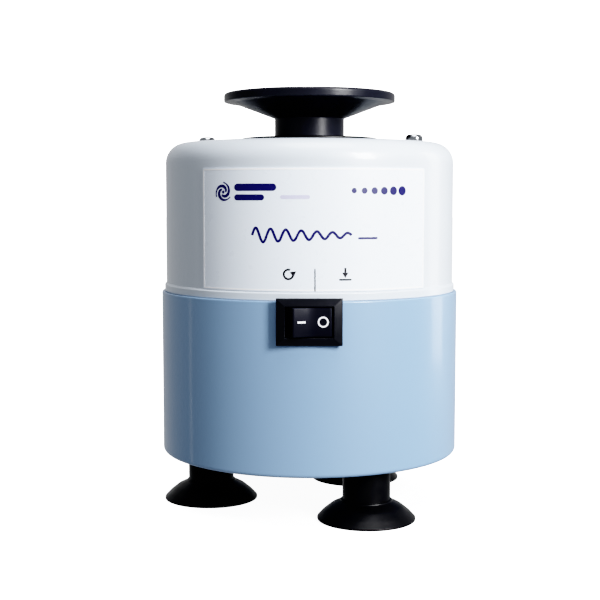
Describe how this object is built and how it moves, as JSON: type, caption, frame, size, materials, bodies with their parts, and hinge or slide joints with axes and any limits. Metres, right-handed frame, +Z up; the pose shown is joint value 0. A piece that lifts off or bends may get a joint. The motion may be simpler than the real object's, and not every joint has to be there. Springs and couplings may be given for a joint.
{
  "type": "vortex mixer",
  "caption": "Round fixed-speed laboratory vortex mixer: drawn metal body on suction feet, orbiting rubber platform worked by an eccentric, and a rocker for continuous or touch running.",
  "frame": {"origin": "centre of the plane that the three suction cups stand on, on the motor's axis", "axes": "+Z up along the motor's axis, the rocker switch faces -Y, +X to the right of a person facing it"},
  "size_m": [0.1046, 0.1118, 0.1436],
  "materials": {
    "housing_paint": "light steel blue gloss paint on drawn metal",
    "cover_paint": "white gloss paint on drawn metal",
    "label_film": "cool white printed film, satin",
    "screw_chrome": "bright plated cross-head screws",
    "zinc_steel": "zinc plated steel",
    "plate_steel": "sheet steel, rolled",
    "black_rubber": "moulded black rubber, satin",
    "head_rubber": "moulded black rubber, polished by use",
    "laminations": "stacked electrical steel, dark oxide",
    "bobbin_plastic": "natural nylon",
    "winding": "enamelled copper wire",
    "copper": "bare copper",
    "die_cast": "die-cast, as cast",
    "bronze": "sintered bronze, oil soaked",
    "spring_steel": "drawn spring wire",
    "switch_plastic": "black moulded nylon, semi-gloss",
    "rocker_plastic": "black moulded nylon, gloss",
    "micro_plastic": "black moulded phenolic",
    "micro_button": "red moulded plastic",
    "contact_metal": "brass, tin flashed",
    "block_plastic": "natural nylon",
    "lead_black": "black insulation",
    "lead_red": "red insulation",
    "lead_earth": "green and yellow insulation",
    "acetal": "natural acetal",
    "ground_steel": "ground bearing steel",
    "dark_steel": "blackened steel",
    "hub_steel": "turned free-cutting steel",
    "cage_brass": "pressed brass"
  },
  "bodies": {
    "chassis": {"lower_housing": "housing_paint", "upper_cover": "cover_paint", "front_label": "label_film", "cover_screws": "screw_chrome", "cover_posts": "zinc_steel", "post_screws": "zinc_steel", "foot_left": "black_rubber", "foot_front": "black_rubber", "foot_back": "black_rubber", "foot_studs": "zinc_steel", "chassis_pillars": "zinc_steel", "plate_screws": "zinc_steel", "motor_plate": "plate_steel", "neck_boot": "black_rubber", "stator_core": "laminations", "coil_limb": "laminations", "coil_bobbin": "bobbin_plastic", "coil_winding": "winding", "shading_rings": "copper", "lower_motor_bracket": "die_cast", "upper_motor_bracket": "die_cast", "lower_bush": "bronze", "upper_bush": "bronze", "motor_bolts": "zinc_steel", "motor_spacers": "die_cast", "spring_bracket": "plate_steel", "bracket_screws": "zinc_steel", "return_spring": "spring_steel", "microswitch_case": "micro_plastic", "microswitch_screws": "zinc_steel", "microswitch_terminals": "contact_metal", "switch_case": "switch_plastic", "switch_terminals": "contact_metal", "cord_grommet": "black_rubber", "terminal_block": "block_plastic", "terminal_screws": "contact_metal", "earth_stud": "contact_metal", "switch_leads": "lead_black", "coil_leads": "lead_red", "earth_lead": "lead_earth"},
    "touch_plunger": {"touch_plunger": "acetal", "thrust_ball": "ground_steel"},
    "rotor": {"motor_shaft": "ground_steel", "rotor_core": "laminations", "rotor_end_rings": "die_cast", "shaft_clip": "dark_steel", "eccentric_hub": "hub_steel", "hub_screw": "dark_steel", "counterweight": "dark_steel", "bearing_inner_race": "ground_steel", "bearing_screw": "zinc_steel"},
    "bearing_cage": {"bearing_balls": "ground_steel", "bearing_cage": "cage_brass"},
    "head": {"platform": "head_rubber", "head_insert": "die_cast", "bearing_outer_race": "ground_steel", "bearing_retainer": "die_cast"},
    "rocker": {"switch_rocker": "rocker_plastic"},
    "microswitch_lever": {"microswitch_lever": "spring_steel"},
    "microswitch_button": {"microswitch_button": "micro_button"}
  },
  "joints": [
    {"name": "touch_press", "type": "slide", "parent": "chassis", "child": "touch_plunger", "axis": [0, 0, 1], "range_m": [-0.0015, 0], "stiffness_N_per_m": 2500, "springref_m": 0.003, "deforming": ["return_spring", "neck_boot"]},
    {"name": "rotor_spin", "type": "hinge", "parent": "touch_plunger", "child": "rotor", "pos_m": [0, 0, 0.08], "axis": [0, 0, 1], "continuous": true},
    {"name": "head_orbit", "type": "hinge", "parent": "rotor", "child": "head", "pos_m": [0, -0.002, 0.124], "axis": [0, 0, 1], "continuous": true},
    {"name": "cage_roll", "type": "hinge", "parent": "rotor", "child": "bearing_cage", "pos_m": [0, -0.002, 0.124], "axis": [0, 0, 1], "continuous": true},
    {"name": "rocker_tilt", "type": "hinge", "parent": "chassis", "child": "rocker", "pos_m": [0, -0.0495, 0.0683], "axis": [0, 0, -1], "range_deg": [0, 20]},
    {"name": "lever_tilt", "type": "hinge", "parent": "chassis", "child": "microswitch_lever", "pos_m": [0.0095, 0, 0.0319], "axis": [0, 1, 0], "range_deg": [-9.6, 0]},
    {"name": "button_travel", "type": "slide", "parent": "chassis", "child": "microswitch_button", "axis": [0, 0, 1], "range_m": [-0.00085, 0]}
  ],
  "couplings": [
    {"joint": "head_orbit", "follows": "rotor_spin", "ratio": -1},
    {"joint": "cage_roll", "follows": "rotor_spin", "ratio": -0.668},
    {"joint": "lever_tilt", "follows": "touch_press", "rad_per_m": 110},
    {"joint": "button_travel", "follows": "touch_press", "ratio": 0.55}
  ]
}
